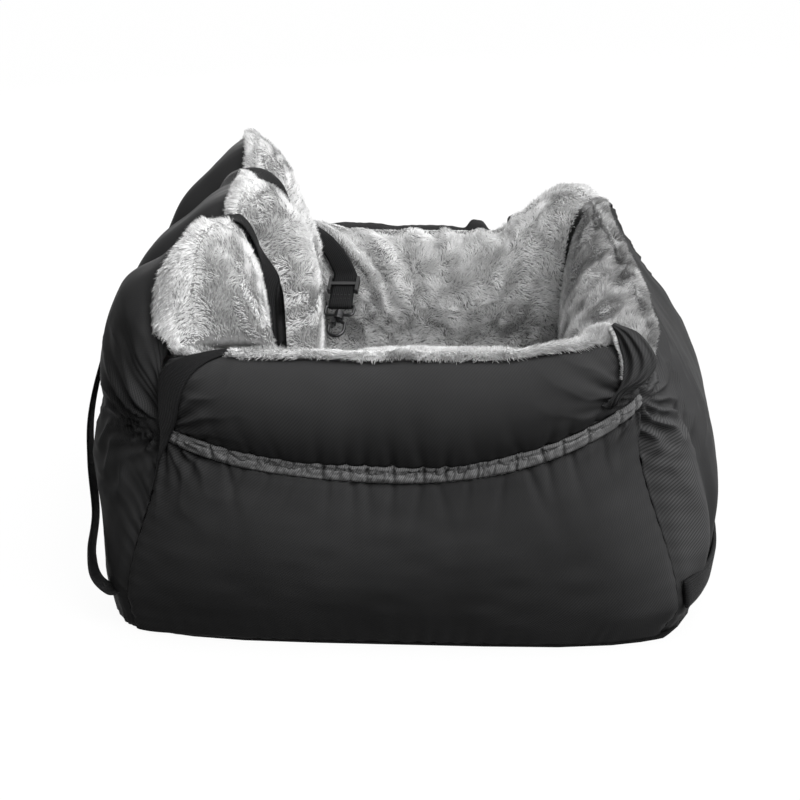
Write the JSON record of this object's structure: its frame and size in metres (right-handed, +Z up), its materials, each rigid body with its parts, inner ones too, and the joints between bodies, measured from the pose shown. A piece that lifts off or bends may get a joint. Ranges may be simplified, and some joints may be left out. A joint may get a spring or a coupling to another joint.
{
  "type": "dog car seat",
  "caption": "Padded dog car seat: stuffed black nylon walls with grey plush lining, tall backrest, elastic-gathered sides, cushion and tether straps with snap hooks.",
  "frame": {"origin": "on the floor, in the middle of the four corner seams, on the base cloth's underside", "axes": "+X from the backrest to the front wall, +Y from the near side wall to the far one, +Z up"},
  "size_m": [0.601, 0.5006, 0.376],
  "materials": {
    "black_nylon": "soft sheen, fine twill",
    "grey_plush": "short mottled pile",
    "polyester_filling": "loose fibre",
    "foam": "open cell",
    "black_webbing": "ribbed weave",
    "black_plastic": "moulded",
    "black_metal": "satin black",
    "elastic": "braided",
    "base_cloth": "plain matt cloth"
  },
  "bodies": {
    "seat": {"backrest_filling": "polyester_filling", "backrest_plush_lining": "grey_plush", "backrest_nylon_cover": "black_nylon", "front_wall_filling": "polyester_filling", "front_wall_plush_lining": "grey_plush", "front_wall_nylon_cover": "black_nylon", "near_side_filling": "polyester_filling", "near_side_plush_lining": "grey_plush", "near_side_roll_cover": "black_nylon", "near_side_gather_band": "black_nylon", "near_side_lower_panel": "black_nylon", "near_side_waist_elastic": "elastic", "far_side_filling": "polyester_filling", "far_side_plush_lining": "grey_plush", "far_side_roll_cover": "black_nylon", "far_side_gather_band": "black_nylon", "far_side_lower_panel": "black_nylon", "far_side_waist_elastic": "elastic", "bottom_panel": "base_cloth", "base_foam": "foam", "cushion_plush_top": "grey_plush", "cushion_underside": "base_cloth", "cushion_filling": "polyester_filling", "front_lower_strap": "black_webbing", "zip_tape": "base_cloth", "zip_teeth": "black_plastic", "near_backrest_strap": "black_webbing", "near_tether_strap": "black_webbing", "near_hook_eye": "black_metal", "far_backrest_strap": "black_webbing", "far_tether_strap": "black_webbing", "far_hook_eye": "black_metal"},
    "near_adjuster": {"near_tether_adjuster": "black_plastic"},
    "near_hook": {"near_snap_hook": "black_metal", "near_gate_pin": "black_metal"},
    "near_gate": {"near_hook_gate": "black_metal"},
    "far_adjuster": {"far_tether_adjuster": "black_plastic"},
    "far_hook": {"far_snap_hook": "black_metal", "far_gate_pin": "black_metal"},
    "far_gate": {"far_hook_gate": "black_metal"},
    "zip_slider": {"zip_slider": "black_metal"},
    "zip_pull": {"zip_pull": "black_metal"}
  },
  "joints": [
    {"name": "near_adjuster_slide", "type": "slide", "parent": "seat", "child": "near_adjuster", "axis": [0.0577, -0.8669, 0.4951], "range_m": [-0.0015, 0.003]},
    {"name": "near_hook_swivel", "type": "hinge", "parent": "seat", "child": "near_hook", "pos_m": [-0.0909, -0.09527, 0.18586], "axis": [0.0577, -0.8669, 0.4951], "continuous": true},
    {"name": "near_gate_hinge", "type": "hinge", "parent": "near_hook", "child": "near_gate", "pos_m": [-0.08696, -0.0928, 0.18479], "axis": [-0.073, 0.4909, 0.8682], "range_deg": [0, 32], "stiffness_Nm_per_rad": 0.01, "springref_deg": -17.19},
    {"name": "far_adjuster_slide", "type": "slide", "parent": "seat", "child": "far_adjuster", "axis": [0.0577, 0.8669, 0.4951], "range_m": [-0.0015, 0.003]},
    {"name": "far_hook_swivel", "type": "hinge", "parent": "seat", "child": "far_hook", "pos_m": [-0.0909, 0.09527, 0.18586], "axis": [0.0577, 0.8669, 0.4951], "continuous": true},
    {"name": "far_gate_hinge", "type": "hinge", "parent": "far_hook", "child": "far_gate", "pos_m": [-0.09512, 0.0935, 0.1845], "axis": [-0.073, -0.4909, 0.8682], "range_deg": [0, 32], "stiffness_Nm_per_rad": 0.01, "springref_deg": -17.19},
    {"name": "zip_run", "type": "slide", "parent": "seat", "child": "zip_slider", "axis": [0, 1, 0], "range_m": [0, 0.1]},
    {"name": "zip_pull_hinge", "type": "hinge", "parent": "zip_slider", "child": "zip_pull", "pos_m": [-0.30156, -0.05015, 0.06114], "axis": [-0.1052, 0, 0.9945], "range_deg": [0, 170]}
  ]
}
